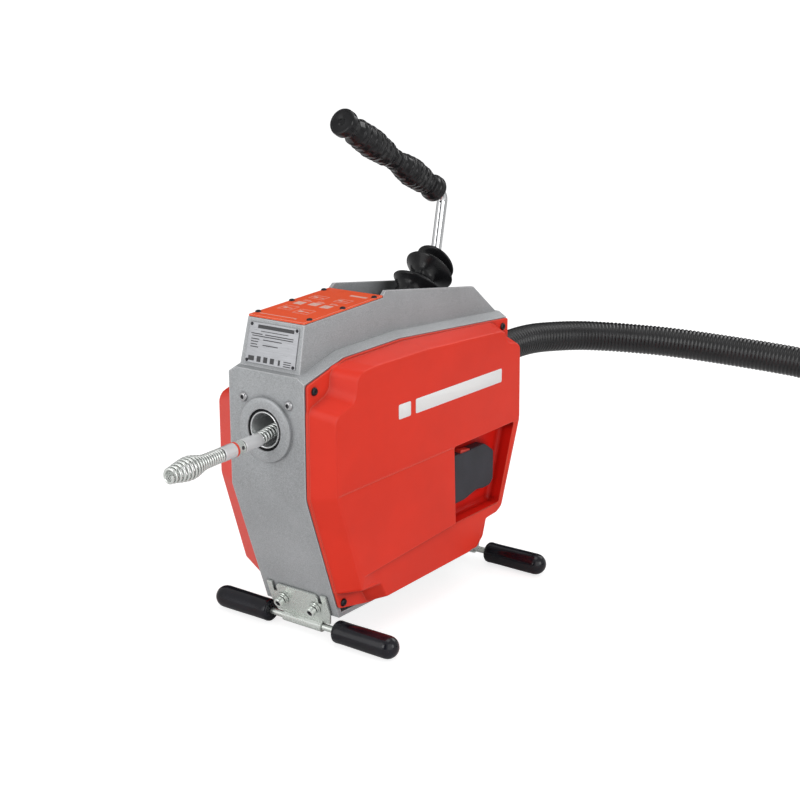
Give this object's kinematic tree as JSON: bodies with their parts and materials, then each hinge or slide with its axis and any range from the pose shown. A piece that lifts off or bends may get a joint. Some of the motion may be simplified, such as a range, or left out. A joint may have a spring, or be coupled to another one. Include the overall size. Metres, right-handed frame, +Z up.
{
  "type": "drain snake machine",
  "caption": "Sectional drain cleaner: lever-clamped motor spindle turns a steel spiral with a club auger, fed from a curved guide hose; stands on tubular feet with rubber grips.",
  "frame": {"origin": "on the floor, below the middle of the machine's bounding box without its guide hose", "axes": "+Z up; +Y from the spindle's mouth towards the guide hose; +X towards the side with the switch pocket"},
  "size_m": [0.9857, 0.9442, 0.6207],
  "materials": {
    "grey_casting": "satin grey coat on cast metal, lightly grained",
    "red_cover": "satin red moulding with a fine grain",
    "orange_plate": "printed orange-red sheet",
    "rating_foil": "blank brushed plate",
    "dark_screw": "blackened steel",
    "zinc_plate": "bright zinc plating",
    "steel": "bare machined or drawn steel",
    "cast_parts": "as cast, machined where it fits",
    "chrome": "bright chrome on a bent rod",
    "bronze": "sintered bronze",
    "black_rubber": "satin black rubber",
    "black_vinyl": "glossy dipped vinyl",
    "dark_plastic": "fine-grained dark plastic",
    "rocker_red": "glossy red"
  },
  "bodies": {
    "machine": {"housing": "grey_casting", "cover_right": "red_cover", "cover_left": "red_cover", "cover_screw_1": "dark_screw", "cover_screw_2": "dark_screw", "cover_screw_3": "dark_screw", "cover_screw_4": "dark_screw", "top_plate": "orange_plate", "top_plate_screw_1": "dark_screw", "top_plate_screw_2": "dark_screw", "top_plate_screw_3": "dark_screw", "top_plate_screw_4": "dark_screw", "top_plate_screw_5": "dark_screw", "top_plate_screw_6": "dark_screw", "rating_plate": "rating_foil", "front_screw_1": "zinc_plate", "front_screw_2": "zinc_plate", "front_bearing_flange": "cast_parts", "bearing_front": "steel", "bearing_rear": "steel", "rear_bearing_bridge": "cast_parts", "motor_casing": "cast_parts", "drive_belt": "black_rubber", "clamp_return_spring": "steel", "lever_pivot_pin": "steel", "pivot_bush_left": "bronze", "pivot_bush_right": "bronze", "front_foot_bar": "steel", "front_foot_bracket": "zinc_plate", "front_foot_bolt_1": "zinc_plate", "front_foot_bolt_2": "zinc_plate", "front_foot_grip_left": "black_vinyl", "front_foot_grip_right": "black_vinyl", "rear_foot_bar": "steel", "rear_foot_bracket": "zinc_plate", "rear_foot_bolt_1": "zinc_plate", "rear_foot_bolt_2": "zinc_plate", "rear_foot_grip_left": "black_vinyl", "rear_foot_grip_right": "black_vinyl", "switch_box": "dark_plastic", "hose_nozzle": "black_rubber", "cable_gland": "black_rubber", "guide_hose": "black_rubber", "hose_end_cuff": "black_rubber"},
    "spindle": {"spindle": "steel", "spindle_pulley": "cast_parts"},
    "motor_rotor": {"motor_rotor": "steel", "motor_pulley": "cast_parts"},
    "lever": {"lever": "chrome", "lever_grip": "black_vinyl", "lever_boot": "black_rubber"},
    "clamp_ring": {"clamp_ring": "steel"},
    "jaw_1": {"clamp_jaw_1": "steel"},
    "jaw_2": {"clamp_jaw_2": "steel"},
    "jaw_3": {"clamp_jaw_3": "steel"},
    "spiral": {"spiral": "steel", "spiral_coupling": "zinc_plate", "club_auger": "steel"},
    "switch_rocker": {"switch_rocker": "rocker_red"}
  },
  "joints": [
    {"name": "spindle_spin", "type": "hinge", "parent": "machine", "child": "spindle", "pos_m": [0, 0, 0.27], "axis": [0, 1, 0], "continuous": true},
    {"name": "motor_spin", "type": "hinge", "parent": "machine", "child": "motor_rotor", "pos_m": [0, 0, 0.122], "axis": [0, 1, 0], "continuous": true},
    {"name": "clamp_lever_pull", "type": "hinge", "parent": "machine", "child": "lever", "pos_m": [0, 0.098, 0.362], "axis": [1, 0, 0], "range_deg": [0, 20], "stiffness_Nm_per_rad": 4, "springref_deg": -22.92, "deforming": ["lever_boot"]},
    {"name": "clamp_ring_slide", "type": "slide", "parent": "spindle", "child": "clamp_ring", "axis": [0, 1, 0], "range_m": [0, 0.02], "deforming": ["clamp_return_spring"]},
    {"name": "jaw_1_slide", "type": "slide", "parent": "spindle", "child": "jaw_1", "axis": [0, 0, -1], "range_m": [0, 0.0055]},
    {"name": "jaw_2_slide", "type": "slide", "parent": "spindle", "child": "jaw_2", "axis": [-0.866, 0, 0.5], "range_m": [0, 0.0055]},
    {"name": "jaw_3_slide", "type": "slide", "parent": "spindle", "child": "jaw_3", "axis": [0.866, 0, 0.5], "range_m": [0, 0.0055]},
    {"name": "spiral_draw", "type": "slide", "parent": "spindle", "child": "spiral", "axis": [0, -1, 0], "range_m": [0, 0.15]},
    {"name": "switch_rock", "type": "hinge", "parent": "machine", "child": "switch_rocker", "pos_m": [0.0692, 0.14, 0.181], "axis": [1, 0, 0], "range_deg": [0, 10]}
  ],
  "couplings": [
    {"joint": "motor_spin", "follows": "spindle_spin", "ratio": 2.8},
    {"joint": "clamp_ring_slide", "follows": "clamp_lever_pull", "m_per_rad": 0.057295},
    {"joint": "jaw_1_slide", "follows": "clamp_lever_pull", "m_per_rad": 0.015756},
    {"joint": "jaw_2_slide", "follows": "clamp_lever_pull", "m_per_rad": 0.015756},
    {"joint": "jaw_3_slide", "follows": "clamp_lever_pull", "m_per_rad": 0.015756}
  ]
}
